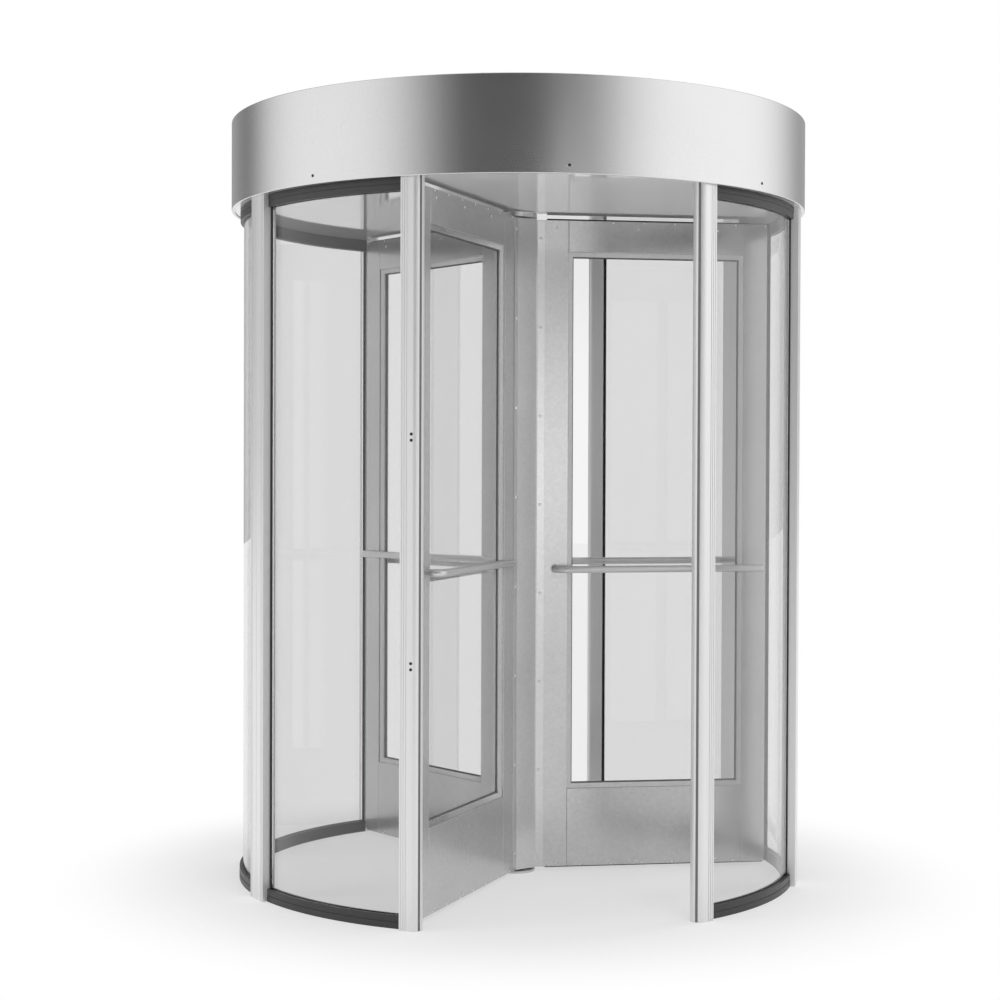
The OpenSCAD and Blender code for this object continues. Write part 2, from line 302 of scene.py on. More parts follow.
def turned_steel(feed):
    spot = feed.node("TexCoord", {}, {}, "Object")
    level = feed.node("VectorMath", {"operation": "MULTIPLY"}, {0: spot, 1: (1, 1, 0)})
    radius = feed.node("VectorMath", {"operation": "LENGTH"}, {0: level}, "Value")
    rings = feed.node("Math", {"operation": "SINE"}, {0: radius * 9000})
    cloud = grain(feed, (40, 40, 40), 4.0)
    return {
        "Base Color": shade(feed, cloud, 0.60, 0.76),
        "Metallic": 0.7,
        "Roughness": 0.26 + 0.16 * cloud,
        "Normal": relief(feed, 0.5 + 0.5 * rings, 0.25, 0.05),
    }


bearing_steel = finish("bearing_steel", turned_steel)
ring_face = [
    (bearing_bore, 0), (bearing_out, 0), (bearing_out, bearing_top - bearing_chamfer),
    (bearing_out - bearing_chamfer, bearing_top), (bearing_bore + bearing_chamfer, bearing_top),
    (bearing_bore, bearing_top - bearing_chamfer),
]
place("floor_bearing_plate", [lathe(ring_face, bearing_steps)], "surround", bearing_steel, "floor_bearing")


# The screws' steel is painted near white: a painted highlight over the steel's own grey.
def screw_painted_highlight(feed):
    cloud = grain(feed, (900, 900, 900), 3.0)
    return {
        "Base Color": shade(feed, cloud, 0.82, 0.95),
        "Metallic": 0.4,
        "Roughness": 0.22 + 0.14 * cloud,
        "Normal": relief(feed, cloud, 0.2, 0.05),
    }


screw_steel_painted_bright = finish("screw_steel_painted_bright", screw_painted_highlight)
bolt_circle = 46
bolt_radius = 6
bolt_proud = 0.4
bolt_turns = [radians(60 * step) for step in range(6)]


def bearing_bolts(height, side):
    """Six countersunk heads, flush with the plate's face but for a hair's breadth."""
    spots = [(bolt_circle * cos(turn), bolt_circle * sin(turn), height) for turn in bolt_turns]
    return [moved(screw_head(bolt_radius, bolt_proud, 16), facing(spot, (0, 0, side))) for spot in spots]


bolts = place("floor_bearing_screws", bearing_bolts(bearing_top, 1), "surround", screw_steel_painted_bright)

# The jambs are extruded aluminium posts with a silver anodised skin, one on each side of both
# doorways. A round nose with a slot for an edge strip faces the doorway, and fine grooves run up
# the face beside the glass.
post_outer = 942
post_inner = 892
post_top = 2208
jamb_half = 32
jamb_angle = 28.3
nose = (post_outer - post_inner) / 2
nose_slot = 8
nose_slot_deep = 3
nose_slot_turn = radians(57)
jamb_round = 1.0
groove = 2.5
groove_step = 7.5
groove_deep = 1.5


def outline(points):
    """Starts a mesh as one flat face with these corners, in millimetres."""
    shape = bmesh.new()
    shape.faces.new([shape.verts.new(Vector(point) * MM) for point in points])
    return shape


def ease(shape, corners, size, steps):
    """Rounds some corners of a flat outline."""
    bmesh.ops.bevel(
        shape, geom=corners, offset=size * MM, offset_type="OFFSET", segments=steps,
        profile=0.5, affect="VERTICES", material=-1, clamp_overlap=True,
    )


def draw_up(shape, bottom, top):
    """Draws a flat outline up into a solid between two heights."""
    bmesh.ops.translate(shape, verts=shape.verts, vec=(0, 0, bottom * MM))
    raised = bmesh.ops.extrude_face_region(shape, geom=shape.faces[:])["geom"]
    upper = [item for item in raised if isinstance(item, bmesh.types.BMVert)]
    bmesh.ops.translate(shape, verts=upper, vec=(0, 0, (top - bottom) * MM))
    return shape


def turned(shape, angle):
    return moved(shape, Matrix.Rotation(radians(angle), 4, "Z"))


def flipped(shape):
    """The mirror image, left for right."""
    moved(shape, Matrix.Scale(-1, 4, (1, 0, 0)))
    bmesh.ops.reverse_faces(shape, faces=shape.faces)
    return shape


def grooved_face(half, count):
    """Corners of a post's inner corner, glass side and outer face, dipping into each groove."""
    corners = [(-half, -post_inner, 0), (-half, -post_outer, 0)]
    for step in range(1, count + 1):
        stop = -half + step * groove_step
        start = stop - groove
        corners += [
            (start, -post_outer, 0), (start, -post_outer + groove_deep, 0),
            (stop, -post_outer + groove_deep, 0), (stop, -post_outer, 0),
        ]
    return corners


def on_nose(radius, turn, aside=0):
    """Point at a distance from the nose's middle, by its turn from the outer face."""
    x = jamb_half - nose + radius * sin(turn) + aside * cos(turn)
    y = -post_outer + nose - radius * cos(turn) + aside * sin(turn)
    return (x, y, 0)


def jamb():
    half_slot = nose_slot / 2
    lip = asin(half_slot / nose)
    before = [on_nose(nose, (nose_slot_turn - lip) * step / 8) for step in range(9)]
    floor = [on_nose(nose - nose_slot_deep, nose_slot_turn, side * half_slot) for side in (-1, 1)]
    rest = radians(180) - nose_slot_turn - lip
    after = [on_nose(nose, nose_slot_turn + lip + rest * step / 16) for step in range(17)]
    shape = outline(grooved_face(jamb_half, 3) + before + floor + after)
    glass_side = [v for v in shape.verts if v.co.x < -0.99 * jamb_half * MM]
    ease(shape, glass_side, jamb_round, 3)
    return draw_up(shape, 0, post_top)


def silver_anodised(feed):
    drawn = grain(feed, (420, 420, 2.2), 3.0)
    cloud = grain(feed, (7, 7, 1.6), 3.0)
    skin = grain(feed, (1500, 1500, 1500))
    mask = 0.55 * drawn + 0.45 * cloud
    return {
        "Base Color": shade(feed, mask, 0.76, 0.90),
        "Metallic": 0.6,
        "Roughness": 0.26 + 0.18 * mask,
        "Normal": relief(feed, 0.7 * drawn + 0.3 * skin, 0.18, 0.12),
    }


post_metal = finish("post_metal", silver_anodised)
jamb_places = (
    ("front_left", False, -jamb_angle), ("front_right", True, jamb_angle),
    ("rear_left", True, 180 + jamb_angle), ("rear_right", False, 180 - jamb_angle),
)
for corner, mirror, angle in jamb_places:
    post = turned(flipped(jamb()) if mirror else jamb(), angle)
    place(f"{corner}_jamb_post", [post], "surround", post_metal, f"jamb_{corner}")


def blackened(feed):
    cloud = grain(feed, (700, 700, 700), 3.0)
    return {
        "Base Color": shade(feed, cloud, 0.012, 0.03),
        "Metallic": 0.3,
        "Roughness": 0.35 + 0.2 * cloud,
        "Normal": relief(feed, cloud, 0.2, 0.05),
    }


screw_black = finish("screw_black", blackened)
lock_screw_radius = 4.6
lock_screw_proud = 1.8
lock_screw_side = 4
lock_screw_heights = (767, 785, 1437, 1455)


def lock_screws(angle):
    """Two pairs of black screws that hold the lock's keeper inside a jamb."""
    seats = [facing((lock_screw_side, -post_outer, height), (0, -1, 0)) for height in lock_screw_heights]
    heads = [moved(screw_head(lock_screw_radius, lock_screw_proud, 14), seat) for seat in seats]
    return [turned(head, angle) for head in heads]


keeper_screws = lock_screws(-jamb_angle) + lock_screws(180 - jamb_angle)
keepers = place("jamb_screws", keeper_screws, "surround", screw_black)

# The mullions join one glass panel to the next. Each is two flat extruded posts back to back,
# of the jambs' silver metal, with two grooves beside its own glass.
glass_middle = 908
half_mullion = 24
mullion_round = 1.4
mullion_half = degrees(atan(half_mullion / glass_middle))
panel_angle = (180 - 2 * jamb_angle - 4 * mullion_half) / 3


def panel_start(number):
    return jamb_angle + number * (panel_angle + 2 * mullion_half)


def mullion_post():
    back = [(half_mullion, -post_outer, 0), (half_mullion, -post_inner, 0)]
    shape = outline(grooved_face(half_mullion, 2) + back)
    rim = [v for v in shape.verts if abs(v.co.x) > 0.99 * half_mullion * MM]
    ease(shape, rim, mullion_round, 3)
    return turned(draw_up(shape, 0, post_top), -mullion_half)


def mullion_pair(angle):
    return [turned(mullion_post(), angle), turned(flipped(mullion_post()), angle)]


mullion_angles = [panel_start(number) - mullion_half for number in (1, 2)]
right_pairs = [post for angle in mullion_angles for post in mullion_pair(angle)]
left_pairs = [post for angle in mullion_angles for post in mullion_pair(-angle)]
place("right_mullion_posts", right_pairs, "surround", post_metal, "mullions_right")
place("left_mullion_posts", left_pairs, "surround", post_metal, "mullions_left")

# The rails hold the curved glass at floor and ceiling. They are rolled to the drum's curve from
# a black anodised extrusion, with a slot for the glass and a shadow groove along the outer face.
rail_inner = 892
rail_outer = 926
rail_high = 40
slot_deep = 12
slot_half = 6.3
shadow = 2
set_back = 0.6
rail_round = 0.5
top_rail_top = 2207.7
rail_steps = 40


def carried_round(shape, start, angle, steps):
    """Carries a flat upright section round the axis, from one angle on."""
    bmesh.ops.spin(
        shape, geom=shape.verts[:] + shape.edges[:] + shape.faces[:], cent=(0, 0, 0),
        axis=(0, 0, 1), angle=radians(angle), steps=steps, use_duplicate=False,
    )
    return turned(shape, start)


def trimmed(shape, angle, reach, side):
    """Cuts a curved piece off at this reach from a post's middle, on one side of the post."""
    along = Vector((cos(radians(angle)), sin(radians(angle)), 0))
    bmesh.ops.bisect_plane(
        shape, geom=shape.verts[:] + shape.edges[:] + shape.faces[:], dist=0.001 * MM,
        plane_co=along * (side * reach * MM), plane_no=along * -side, clear_outer=True,
    )
    bmesh.ops.holes_fill(shape, edges=[e for e in shape.edges if e.is_boundary], sides=0)


def post_halves(number):
    """Half the widths of the posts at a panel's start and end: jambs only by the doorways."""
    return (jamb_half if number == 0 else half_mullion, jamb_half if number == 2 else half_mullion)


def between_posts(section, number, margin, steps):
    shape = carried_round(section, panel_start(number), panel_angle, steps)
    first, last = post_halves(number)
    trimmed(shape, panel_start(number), first + margin, 1)
    trimmed(shape, panel_start(number) + panel_angle, last + margin, -1)
    return shape


def rail_section(base, up):
    """The rail's section, standing on a height or hanging from it."""
    groove_low = (rail_high - shadow) / 2
    slot_near, slot_far = glass_middle - slot_half, glass_middle + slot_half
    corners = [
        (rail_inner, 0), (rail_outer, 0), (rail_outer, groove_low),
        (rail_outer - shadow, groove_low), (rail_outer - shadow, groove_low + shadow),
        (rail_outer - set_back, groove_low + shadow), (rail_outer - set_back, rail_high),
        (slot_far, rail_high), (slot_far, rail_high - slot_deep),
        (slot_near, rail_high - slot_deep), (slot_near, rail_high), (rail_inner, rail_high),
    ]
    shape = outline([(0, -radius, base + up * height) for radius, height in corners])
    ease(shape, shape.verts[:], rail_round, 2)
    return shape


def black_anodised(feed):
    drawn = grain(feed, (14, 14, 700), 3.0)
    cloud = grain(feed, (30, 30, 60), 4.0)
    mask = 0.5 * drawn + 0.5 * cloud
    return {
        "Base Color": shade(feed, mask, 0.03, 0.075),
        "Metallic": 0.35,
        "Roughness": 0.3 + 0.22 * mask,
        "Normal": relief(feed, drawn, 0.2, 0.1),
    }


dark_rail = finish("dark_rail", black_anodised)


def rails(base, up, left):
    runs = [between_posts(rail_section(base, up), number, 0, rail_steps) for number in range(3)]
    return [flipped(run) for run in runs] if left else runs


place("right_bottom_rail_runs", rails(0, 1, False), "surround", dark_rail, "bottom_rails_right")
place("left_bottom_rail_runs", rails(0, 1, True), "surround", dark_rail, "bottom_rails_left")
place("right_top_rail_runs", rails(top_rail_top, -1, False), "surround", dark_rail, "top_rails_right")
place("left_top_rail_runs", rails(top_rail_top, -1, True), "surround", dark_rail, "top_rails_left")

# Black rubber gaskets close the joint between each upright edge of glass and its post. They
# are extruded with a soft round lip on both faces of the glass and pressed in between the rails.
gasket_wide = 9
gasket_round = 2.4
gasket_outer = 917
gasket_inner = 899
gasket_top = 2167.4


def gasket(half):
    corners = [
        (half, -gasket_outer, 0), (half + gasket_wide, -gasket_outer, 0),
        (half + gasket_wide, -gasket_inner, 0), (half, -gasket_inner, 0),
    ]
    shape = outline(corners)
    lip = [v for v in shape.verts if v.co.x > (half + 1) * MM]
    ease(shape, lip, gasket_round, 4)
    return draw_up(shape, rail_high, gasket_top)


def moulded_rubber(feed, low, high, dullness):
    cloud = grain(feed, (90, 90, 25), 4.0)
    skin = grain(feed, (1400, 1400, 1400), 3.0)
    return {
        "Base Color": shade(feed, cloud, low, high),
        "Roughness": dullness + 0.25 * cloud,
        "Normal": relief(feed, 0.4 * cloud + 0.6 * skin, 0.25, 0.15),
    }


rubber = finish("rubber", lambda feed: moulded_rubber(feed, 0.008, 0.022, 0.42))
soft_grey = finish("soft_grey", lambda feed: moulded_rubber(feed, 0.13, 0.22, 0.45))
strips = []
for left in (False, True):
    for number in range(3):
        first, last = post_halves(number)
        pair = [
            turned(gasket(first), panel_start(number)),
            turned(flipped(gasket(last)), panel_start(number) + panel_angle),
        ]
        strips += [flipped(strip) for strip in pair] if left else pair
place("wall_gasket_strips", strips, "surround", rubber, "wall_gaskets")
strip_low = 0.9
strip_round = 0.7


def edge_strip():
    """The soft strip pressed into the slot of a jamb's nose, just below the round face."""
    side = nose_slot / 2 - 0.2
    reaches = (nose - nose_slot_deep, nose - strip_low)
    low, high = [[on_nose(reach, nose_slot_turn, sign * side) for sign in (-1, 1)] for reach in reaches]
    shape = outline([low[0], low[1], high[1], high[0]])
    feet = [Vector(corner) * MM for corner in low]
    rim = [v for v in shape.verts if all((v.co - foot).length > 1.5 * MM for foot in feet)]
    ease(shape, rim, strip_round, 3)
    return draw_up(shape, 1, post_top - 1)


strips = [
    turned(flipped(edge_strip()) if mirror else edge_strip(), angle)
    for corner, mirror, angle in jamb_places
]
place("jamb_edge_strips", strips, "surround", soft_grey)

# Six panels of thick bent glass make the drum's walls. They are toughened, faintly grey and
# ground to a small arris all round, and stand in the rails' slots between the gaskets.
glass_inner = 902
glass_outer = 914
glass_low = 28.3
glass_high = 2179.4
glass_margin = 9.3
glass_steps = 48
arris = 0.8


def glass_sheet():
    corners = [
        (0, -glass_inner, glass_low), (0, -glass_outer, glass_low),
        (0, -glass_outer, glass_high), (0, -glass_inner, glass_high),
    ]
    shape = outline(corners)
    ease(shape, shape.verts[:], arris, 2)
    return shape


def glazing(name, tint):
    """Clear glass that lets the lamps through, with a faint film of dust."""
    material = bpy.data.materials.new(name)
    feed = start_nodes(material)
    dust = grain(feed, (5, 5, 2.5), 5.0)
    pane = feed.node("BsdfPrincipled", {}, {
        "Base Color": shade(feed, dust, 0.975 * tint, tint),
        "Roughness": 0.0,
        "IOR": 1.45,
        "Transmission Weight": 1.0,
    })
    clear = feed.node("BsdfTransparent", {}, {"Color": (tint, tint, tint, 1)})
    passing = ray(feed, "Shadow", "Diffuse")
    surface = feed.node("MixShader", {}, {0: passing, 1: pane, 2: clear})
    feed.node("OutputMaterial", {}, {"Surface": surface})
    return material


wall_glass = glazing("wall_glass", 0.85)
for number, part in enumerate(("front", "middle", "rear")):
    panel = between_posts(glass_sheet(), number, glass_margin, glass_steps)
    place(f"right_{part}_pane", [panel], "surround", wall_glass, f"glass_right_{part}")
    panel = flipped(between_posts(glass_sheet(), number, glass_margin, glass_steps))
    place(f"left_{part}_pane", [panel], "surround", wall_glass, f"glass_left_{part}")


# The soffit is the drum's ceiling: a stiff round panel with a pale satin lacquer, laid on the
# posts and the fascia's lower lip. The top bearing is bolted up under its middle.
def pale_lacquer(feed):
    cloud = grain(feed, (2.5, 2.5, 2.5), 3.0)
    peel = grain(feed, (260, 260, 260))
    return {
        "Base Color": shade(feed, cloud, 0.91, 0.96),
        "Roughness": 0.04 + 0.04 * cloud,
        "Coat Weight": 0.8,
        "Coat Roughness": 0.04,
        "Normal": relief(feed, peel, 0.06, 0.15),
    }


def coated(node, material):
    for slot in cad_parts[node].material_slots:
        slot.material = material


coated("soffit_panel", finish("soffit", pale_lacquer))
top_face = [(radius, post_top - height) for radius, height in ring_face]
place("top_bearing_plate", [lathe(top_face, bearing_steps)], "surround", bearing_steel, "top_bearing")
bolts = place("top_bearing_screws", bearing_bolts(post_top - bearing_top, -1), "surround", screw_steel_painted_bright)

# The centre shaft is a turned steel bar that carries the three wings. A narrower pivot at each
# end runs in a bearing plate, and the corner covers hide the rest of it.
shaft_radius = 28
pivot_radius = 15
wing_low = 13
wing_high = 2195
pivot_low = 0.3
pivot_high = 2225.7
pivot_cut = 1
shaft_cut = 1.5
shaft_outline = [
    (0, pivot_low), (pivot_radius - pivot_cut, pivot_low), (pivot_radius, pivot_low + pivot_cut),
    (pivot_radius, wing_low), (shaft_radius - shaft_cut, wing_low), (shaft_radius, wing_low + shaft_cut),
    (shaft_radius, wing_high - shaft_cut), (shaft_radius - shaft_cut, wing_high), (pivot_radius, wing_high),
    (pivot_radius, pivot_high - pivot_cut), (pivot_radius - pivot_cut, pivot_high), (0, pivot_high),
]
place("turning_shaft", [lathe(shaft_outline, 64)], "rotor", bearing_steel, "centre_shaft")

# Each wing is a hollow frame clad in dull grey zinc-coated sheet: two upright stiles with a top
# and a bottom rail between them. The folded edges are slightly round and the joints butt.
wing_rest = -30
wing_half = 22.5
wing_in = 28.3
window_in = 171.3
window_out = 782
wing_out = 866
window_low = 276
window_high = 2089
fold = 1.6


def soften(shape, size, steps):
    """Rounds every sharp edge of a solid."""
    shape.normal_update()
    sharp = [e for e in shape.edges if len(e.link_faces) == 2 and e.calc_face_angle() > radians(40)]
    bmesh.ops.bevel(
        shape, geom=sharp, offset=size * MM, offset_type="OFFSET", segments=steps,
        profile=0.5, affect="EDGES", material=-1, clamp_overlap=True,
    )
    return shape


def folded_box(x_range, y_range, z_range, radius, steps=3):
    """A hollow member folded from sheet, with round edges."""
    shape = bmesh.new()
    bmesh.ops.create_cube(shape, size=1)
    lows, highs = zip(x_range, y_range, z_range)
    size = [high - low for low, high in zip(lows, highs)]
    middle = [(low + high) / 2 for low, high in zip(lows, highs)]
    bmesh.ops.scale(shape, verts=shape.verts, vec=Vector(size) * MM)
    bmesh.ops.translate(shape, verts=shape.verts, vec=Vector(middle) * MM)
    return soften(shape, radius, steps)


def on_wing(shape, number):
    """Turns a wing drawn along X, its counter-clockwise face towards +Y, to its place."""
    return turned(shape, wing_rest + (number - 1) * 120 - 90)


def zinc_sheet(feed, low=0.38, high=0.84):
    cloud = grain(feed, (3.2, 3.2, 2.2), 4.0)
    mottle = grain(feed, (110, 110, 110), 3.0)
    speck = grain(feed, (420, 420, 420), 2.0)
    spot = feed.node("TexCoord", {}, {}, "Object")
    flakes = feed.node("TexVoronoi", {}, {"Vector": spot, "Scale": 85.0, "Randomness": 1.0}, "Color")
    flake = feed.node("VectorMath", {"operation": "DOT_PRODUCT"}, {0: flakes, 1: (1, 0, 0)}, "Value")
    mask = 0.34 * cloud + 0.3 * mottle + 0.3 * speck + 0.06 * flake
    return {
        "Base Color": shade(feed, mask, low, high),
        "Metallic": 0.6,
        "Roughness": 0.18 + 0.08 * cloud,
        "Normal": relief(feed, speck, 0.02, 0.05),
    }


wing_sheet = finish("wing_sheet", zinc_sheet)
thickness = (-wing_half, wing_half)
for number in (1, 2, 3):
    uprights = [
        folded_box((wing_in, window_in), thickness, (wing_low, wing_high), fold),
        folded_box((window_out, wing_out), thickness, (wing_low, wing_high), fold),
    ]
    crossings = [
        folded_box((window_in, window_out), thickness, (wing_low, window_low), fold),
        folded_box((window_in, window_out), thickness, (window_high, wing_high), fold),
    ]
    stiles = [on_wing(shape, number) for shape in uprights]
    place(f"wing_{number}_upright_stiles", stiles, "rotor", wing_sheet, f"wing_{number}_stiles")
    rails_made = [on_wing(shape, number) for shape in crossings]
    place(f"wing_{number}_cross_rails", rails_made, "rotor", wing_sheet, f"wing_{number}_rails")

# A sheet of clear toughened glass fills each wing's window.
# Its edges are hidden under the glazing stops on both faces.
wing_glass = glazing("wing_glass", 0.86)
for number in (1, 2, 3):
    coated(f"wing_{number}_glass", wing_glass)

# Glazing stops hold the wing's glass: a mitred frame of grey sheet on each face, sloping down
# towards the glass, and a thin grey rubber wedge between the stop and the glass.
stop_wide = 16
stop_high = 18
stop_low = 11
glass_face = 4
wedge_wide = 3.5
wedge_high = 2.2
wedge_low = 0.9
stop_round = 0.9
wedge_round = 0.3


def window_frame(reach, width, low, outer_high, inner_high, radius):
    """A mitred frame inside the window on the +Y face, with its top sloping to the glass."""
    shape = outline([
        (window_in + reach, low, window_low + reach), (window_out - reach, low, window_low + reach),
        (window_out - reach, low, window_high - reach), (window_in + reach, low, window_high - reach),
    ])
    shape.normal_update()
    inner = shape.faces[:]
    bmesh.ops.inset_region(
        shape, faces=inner, thickness=width * MM, use_even_offset=True, use_boundary=True,
    )
    bmesh.ops.delete(shape, geom=inner, context="FACES_ONLY")
    raised = bmesh.ops.extrude_face_region(shape, geom=shape.faces[:])["geom"]
    upper = [item for item in raised if isinstance(item, bmesh.types.BMVert)]
    edge_in = (window_in + reach + width / 2) * MM
    edge_out = (window_out - reach - width / 2) * MM
    edge_low = (window_low + reach + width / 2) * MM
    edge_high = (window_high - reach - width / 2) * MM
    for corner in upper:
        by_glass = edge_in < corner.co.x < edge_out and edge_low < corner.co.z < edge_high
        corner.co.y = (inner_high if by_glass else outer_high) * MM
    return soften(shape, radius, 2)


def both_faces(shape):
    """A shape on the +Y face, and the same turned round onto the other face."""
    twin = shape.copy()
    moved(twin, Matrix.Scale(-1, 4, (0, 1, 0)))
    bmesh.ops.reverse_faces(twin, faces=twin.faces)
    return [shape, twin]


for number in (1, 2, 3):
    frames = both_faces(window_frame(0, stop_wide, glass_face, stop_high, stop_low, stop_round))
    frames = [on_wing(shape, number) for shape in frames]
    place(f"wing_{number}_glazing_stops", frames, "rotor", wing_sheet, f"wing_{number}_stops")
    tops = (glass_face + wedge_high, glass_face + wedge_low)
    wedges = both_faces(window_frame(stop_wide, wedge_wide, glass_face, *tops, wedge_round))
    wedges = [on_wing(shape, number) for shape in wedges]
    wedge = place(f"wing_{number}_glazing_wedges", wedges, "rotor", soft_grey)

# The corner covers close the three corners round the shaft. Each is one sheet bent twice along
# its height, screwed through its two flanges to the faces of the wings beside it.
cover_thick = 3
cover_bend = 61
cover_edge = 90
bend_round = 2.5
bend_outer_round = 3.5
cover_rim = 0.8
along = Vector((sin(radians(60)), -cos(radians(60)), 0))
out = Vector((-cos(radians(60)), -sin(radians(60)), 0))
bend_inner = cover_bend * along + wing_half * out
edge_inner = cover_edge * along + wing_half * out
edge_outer = edge_inner + cover_thick * out
face_y = bend_inner.y - cover_thick
bend_outer = Vector(((wing_half + cover_thick - face_y * out.y) / out.x, face_y, 0))


def across(point):
    return Vector((-point.x, point.y, 0))


def corner_cover():
    side = [edge_inner, bend_inner, bend_outer, edge_outer]
    corners = [side[0], side[1], across(side[1]), across(side[0])]
    corners += [across(side[3]), across(side[2]), side[2], side[3]]
    shape = outline(corners)
    bends = [v for v in shape.verts if abs(v.co.x) < 0.05]
    ease(shape, [v for v in bends if v.co.y > (face_y + 1) * MM], bend_round, 4)
    bends = [v for v in shape.verts if abs(v.co.x) < 0.05 and v.co.y < (face_y + 0.5) * MM]
    ease(shape, bends, bend_outer_round, 4)
    ease(shape, [v for v in shape.verts if abs(v.co.x) > 0.06], cover_rim, 2)
    return draw_up(shape, wing_low, wing_high)


cover_screw_lows = 45, 70
cover_screw_step = 298
cover_screw_count = 8
cover_screw_radius = 5
cover_screw_proud = 2.0
flange_middle = (cover_bend + cover_edge) / 2 * along + (wing_half + cover_thick) * out


def cover_screws():
    flanges = (flange_middle, out), (across(flange_middle), across(out))
    heads = []
    for (spot, normal), low in zip(flanges, cover_screw_lows):
        heights = [low + step * cover_screw_step for step in range(cover_screw_count)]
        seats = [facing((spot.x, spot.y, z), normal) for z in heights]
        heads += [moved(screw_head(cover_screw_radius, cover_screw_proud, 12), seat) for seat in seats]
    return heads


# The covers take the wings' zinc sheet painted lighter: a painted highlight where the light catches them
# beside the shaft.
cover_sheet_painted_lighter = finish("cover_sheet_painted_lighter", lambda feed: zinc_sheet(feed, 0.48, 0.92))
for number in (1, 2, 3):
    corner = wing_rest + (number - 0.5) * 120
    cover = turned(corner_cover(), corner)
    place(f"corner_sheet_{number}", [cover], "rotor", cover_sheet_painted_lighter, f"corner_cover_{number}")
    heads = [turned(head, corner) for head in cover_screws()]
    fixings = place(f"corner_screws_{number}", heads, "rotor", screw_steel_painted_bright)

# A push bar crosses each face of each wing: a satin steel tube bent out from one stile and
# slanting back to the other, welded to the frame with a small fillet at its bent end.
bar_radius = 12
bar_out = 56
bar_bend = 32
bar_end = 42
bar_high = 1020
bar_step = 24
weld = 3
bar_sides = 28
bend_steps = 18
bar_reach = window_out - window_in + 2 * bar_end
bar_slant = degrees(atan(bar_out / (window_out - window_in + bar_end)))


def lead_on(shape, ring, path):
    """Leads a ring of edges on along a path, and gives the ring at its far end."""
    grown = bmesh.ops.extrude_edge_only(shape, edges=ring)["geom"]
    verts = [item for item in grown if isinstance(item, bmesh.types.BMVert)]
    edges = [item for item in grown if isinstance(item, bmesh.types.BMEdge)]
    bmesh.ops.translate(shape, verts=verts, vec=Vector(path) * MM)
    return [edge for edge in edges if all(vert in verts for vert in edge.verts)]


def push_bar():
    """The bar's bent end on the origin, standing out along +Y and running back along -X."""
    shape = bmesh.new()
    upright = Matrix.Rotation(radians(-90), 4, "X")
    bmesh.ops.create_circle(shape, segments=bar_sides, radius=(bar_radius + weld) * MM, matrix=upright)
    ring = lead_on(shape, shape.edges[:], (0, weld, 0))
    ends = list({v for e in ring for v in e.verts})
    slim = bar_radius / (bar_radius + weld)
    bmesh.ops.scale(shape, verts=ends, vec=(slim, 1, slim))
    ring = lead_on(shape, ring, (0, bar_out - bar_bend - weld, 0))
    ends = list({v for e in ring for v in e.verts})
    bent = bmesh.ops.spin(
        shape, geom=ends + ring, cent=Vector((-bar_bend, bar_out - bar_bend, 0)) * MM,
        axis=(0, 0, 1), angle=radians(90 + bar_slant), steps=bend_steps, use_duplicate=False,
    )["geom_last"]
    ring = [e for e in bent if isinstance(e, bmesh.types.BMEdge)]
    way = radians(180 + bar_slant)
    lead_on(shape, ring, (bar_reach * cos(way), bar_reach * sin(way), 0))
    bmesh.ops.bisect_plane(
        shape, geom=shape.verts[:] + shape.edges[:] + shape.faces[:], dist=0.001 * MM,
        plane_co=(0, 0, 0), plane_no=(0, -1, 0), clear_outer=True,
    )
    bmesh.ops.holes_fill(shape, edges=[e for e in shape.edges if e.is_boundary], sides=0)
    return shape


def satin_tube(feed):
    brushed = grain(feed, (300, 300, 900), 3.0)
    cloud = grain(feed, (12, 12, 12), 3.0)
    mask = 0.6 * brushed + 0.4 * cloud
    return {
        "Base Color": shade(feed, mask, 0.56, 0.76),
        "Metallic": 0.8,
        "Roughness": 0.24 + 0.16 * mask,
        "Normal": relief(feed, brushed, 0.12, 0.06),
    }


bar_metal = finish("bar_metal", satin_tube)
for number in (1, 2, 3):
    outer_seat = Matrix.Translation(Vector((window_out + bar_end, wing_half, bar_high + bar_step)) * MM)
    inner_seat = Matrix.Translation(Vector((window_in - bar_end, -wing_half, bar_high)) * MM)
    inner_seat = inner_seat @ Matrix.Rotation(radians(180), 4, "Z")
    bars = [on_wing(moved(push_bar(), seat), number) for seat in (outer_seat, inner_seat)]
    place(f"wing_{number}_push_bars", bars, "rotor", bar_metal, f"wing_{number}_bars")

# Brush seals close the gaps round each wing: a strip of dense dark pile in a slim holder along
# the outer stile, and the same along the top and bottom edges, held by small screws.
seal_half = 4
seal_out = 886
holder_out = 870
sweep_in = 100
sweep_out = 865.7
sweep_high = 7
holder_high = 2
pile_foot = seal_half - 0.6
pile_tip = seal_half - 1.6
pile_round = 1.2


def pile_strip(base, tip, width, tip_width, length_from, length_to, upright):
    """A holder and its pile, from base to tip, along the wing's edge."""
    corners = [
        (base, -width, 0), (tip, -tip_width, 0), (tip, tip_width, 0), (base, width, 0),
    ]
    shape = outline(corners)
    ease(shape, [v for v in shape.verts if abs(v.co.x - tip * MM) < 1e-6], pile_round, 3)
    draw_up(shape, length_from, length_to)
    if not upright:
        moved(shape, Matrix(((0, 0, 1, 0), (0, -1, 0, 0), (1, 0, 0, 0), (0, 0, 0, 1))))
    return shape


def brush_pile(feed):
    strand = grain(feed, (1300, 1300, 1300), 2.0)
    clump = grain(feed, (180, 180, 180), 2.0)
    return {
        "Base Color": shade(feed, 0.6 * strand + 0.4 * clump, 0.02, 0.075),
        "Roughness": 0.7 + 0.2 * clump,
        "Normal": relief(feed, strand, 0.6, 0.5),
    }


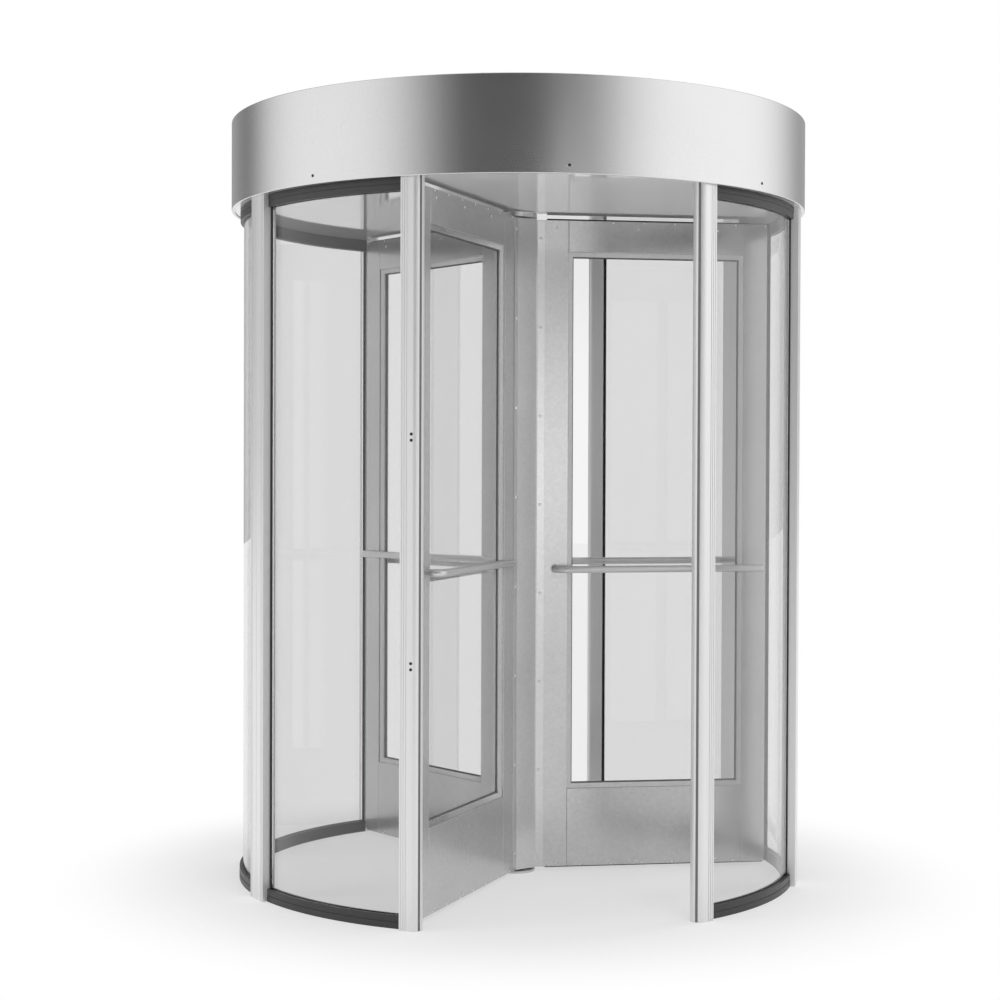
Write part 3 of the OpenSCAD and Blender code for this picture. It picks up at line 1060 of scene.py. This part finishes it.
seal_pile = finish("seal_pile", brush_pile)
for number in (1, 2, 3):
    strips = [
        pile_strip(wing_out, holder_out, seal_half, seal_half, wing_low, wing_high, True),
        pile_strip(holder_out, seal_out, pile_foot, pile_tip, wing_low, wing_high, True),
    ]
    for edge, up in ((wing_high, 1), (wing_low, -1)):
        held = edge + up * holder_high
        tip = edge + up * sweep_high
        strips.append(pile_strip(edge, held, seal_half, seal_half, sweep_in, sweep_out, False))
        strips.append(pile_strip(held, tip, pile_foot, pile_tip, sweep_in, sweep_out, False))
    strips = [on_wing(strip, number) for strip in strips]
    place(f"wing_{number}_pile_strips", strips, "rotor", seal_pile, f"wing_{number}_seals")

# Small steel screws, their colour painted near white as a painted highlight, fix the sheet to the
# wings' top and bottom rails, and a row of smaller ones along both edges clamps the holders of
# the brush seals.
counter_screws = (295, 518, 741)
clockwise_screws = (132, 410, 688)
screw_top = wing_high - 25
screw_foot = wing_low + 13
sheet_screw_radius = 4.2
seal_screw_radius = 3.0
seal_screw_first = 110
seal_screw_step = 107
seal_screws = [seal_screw_first + seal_screw_step * step for step in range(8)]
seal_screw_top = wing_high - 5
seal_screw_foot = wing_low + 5


def face_screws(side, distances, heights, radius, steps):
    spots = [(distance, side * wing_half, height) for distance in distances for height in heights]
    seats = [facing(spot, (0, side, 0)) for spot in spots]
    return [moved(screw_head(radius, 0.42 * radius, steps), seat) for seat in seats]


for number in (1, 2, 3):
    heads = face_screws(1, counter_screws, (screw_foot, screw_top), sheet_screw_radius, 12)
    heads += face_screws(-1, clockwise_screws, (screw_foot, screw_top), sheet_screw_radius, 12)
    for side in (1, -1):
        heads += face_screws(side, seal_screws, (seal_screw_foot, seal_screw_top), seal_screw_radius, 10)
    heads = [on_wing(head, number) for head in heads]
    place(f"wing_{number}_screws", heads, "rotor", screw_steel_painted_bright)

# The canopy's fascia is two half rings of satin metal sheet, rolled to the drum's curve with a
# narrow lip turned in at both edges. Small dark screws hold it to the frame along its foot.
fascia_out = 955
fascia_thick = 3
fascia_lip = 10
fascia_low = 2205
fascia_high = 2493
fascia_steps = 120
fascia_round = 2.4


def fascia_section():
    inner = fascia_out - fascia_thick
    lip = fascia_out - fascia_lip
    corners = [
        (fascia_out, fascia_low), (fascia_out, fascia_high), (lip, fascia_high),
        (lip, fascia_high - fascia_thick), (inner, fascia_high - fascia_thick),
        (inner, fascia_low + fascia_thick), (lip, fascia_low + fascia_thick), (lip, fascia_low),
    ]
    shape = outline([(0, -radius, height) for radius, height in corners])
    rim = [v for v in shape.verts if v.co.y < -0.9999 * fascia_out * MM]
    ease(shape, rim, fascia_round, 4)
    return shape


def satin_band(feed):
    cloud = grain(feed, (1.6, 1.6, 1.6), 2.0)
    sand = grain(feed, (260, 260, 260), 3.0)
    fine = grain(feed, (900, 900, 900), 2.0)
    mask = 0.35 * cloud + 0.4 * sand + 0.25 * fine
    return {
        "Base Color": shade(feed, mask, 0.58, 0.86),
        "Metallic": 1.0,
        "Roughness": 0.21 + 0.1 * mask,
        "Normal": relief(feed, 0.5 * sand + 0.5 * fine, 0.05, 0.15),
    }


canopy_metal = finish("canopy_metal", satin_band)
for name, start in (("front", -90), ("rear", 90)):
    band = carried_round(fascia_section(), start, 180, fascia_steps)
    place(f"{name}_fascia_band", [band], "surround", canopy_metal, f"fascia_{name}")

band_screw_height = fascia_low + 25
band_screw_radius = 4.6
band_screw_proud = 1.6
band_screw_turns = (-49, 0, 42.4, 131, 180, 222.4)
band_seat = facing((0, -fascia_out, band_screw_height), (0, -1, 0))
band_heads = [
    turned(moved(screw_head(band_screw_radius, band_screw_proud, 12), band_seat), turn)
    for turn in band_screw_turns
]
place("fascia_screws", band_heads, "surround", screw_black)

# The roof is a flat sheet of the fascia's metal laid inside its upper lip, which keeps dust off
# the soffit. A ring of steel screws through the lip holds it down, their heads painted near white
# as a painted highlight.
coated("canopy_roof", canopy_metal)
roof_screw_radius = 3.6
roof_screw_proud = 1.4
roof_screw_inset = 6
roof_screw_turns = [15 + 30 * step for step in range(12)]
roof_seat = facing((0, roof_screw_inset - fascia_out, fascia_high), (0, 0, 1))
roof_screws = [
    turned(moved(screw_head(roof_screw_radius, roof_screw_proud, 12), roof_seat), turn)
    for turn in roof_screw_turns
]
place("roof_screws", roof_screws, "surround", screw_steel_painted_bright)
